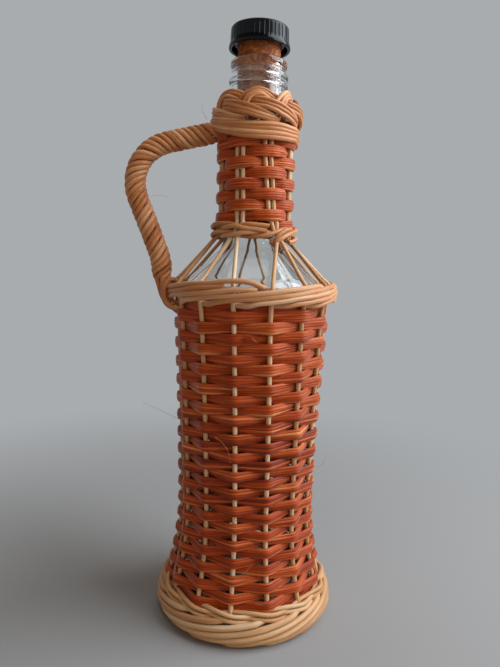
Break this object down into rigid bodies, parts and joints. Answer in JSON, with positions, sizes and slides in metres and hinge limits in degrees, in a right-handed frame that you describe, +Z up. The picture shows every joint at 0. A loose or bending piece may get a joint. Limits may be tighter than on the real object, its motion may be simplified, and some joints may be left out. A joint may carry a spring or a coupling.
{
  "type": "wicker-covered bottle",
  "caption": "Clear glass bottle in a woven wicker jacket with a wound side handle, a plaited collar and a cork stopper under a ribbed cap.",
  "frame": {"origin": "centre of the bottle's foot, on the bottle's axis, at the level that it stands on", "axes": "+Z up the bottle's axis, -X towards the handle, -Y towards the viewer's side with the handle on the left"},
  "size_m": [0.1075, 0.0888, 0.2852],
  "materials": {
    "clear_glass": "clear, polished",
    "cork": "matt agglomerated cork",
    "black_plastic": "glossy moulded",
    "pale_cane": "natural peeled willow and cane, satin",
    "pale_rod": "natural willow rod",
    "dyed_reed": "red-brown dyed reed, satin"
  },
  "bodies": {
    "bottle": {"body_weaver_a_1": "dyed_reed", "body_weaver_a_2": "dyed_reed", "body_weaver_a_3": "dyed_reed", "body_weaver_b_1": "dyed_reed", "body_weaver_b_2": "dyed_reed", "body_weaver_b_3": "dyed_reed", "collar_wrap": "pale_cane", "foot_border": "pale_cane", "foot_twine_a": "pale_cane", "foot_twine_b": "pale_cane", "glass_bottle": "clear_glass", "handle_core": "pale_rod", "handle_lashing": "pale_cane", "handle_wrap": "pale_cane", "neck_collar": "pale_cane", "neck_twine_a": "pale_cane", "neck_twine_b": "pale_cane", "neck_weaver": "dyed_reed", "shoulder_twine_a": "pale_cane", "shoulder_twine_b": "pale_cane", "stake_01": "pale_cane", "stake_02": "pale_cane", "stake_03": "pale_cane", "stake_04": "pale_cane", "stake_05": "pale_cane", "stake_06": "pale_cane", "stake_07": "pale_cane", "stake_08": "pale_cane", "stake_09": "pale_cane", "stake_10": "pale_cane", "stake_11": "pale_cane", "stake_12": "pale_cane", "stake_13": "pale_cane", "stake_14": "pale_cane"},
    "stopper": {"cork_stopper": "cork", "stopper_cap": "black_plastic"}
  },
  "joints": [
    {"name": "stopper_lift", "type": "slide", "parent": "bottle", "child": "stopper", "axis": [0, 0, 1], "range_m": [0, 0.06]}
  ]
}
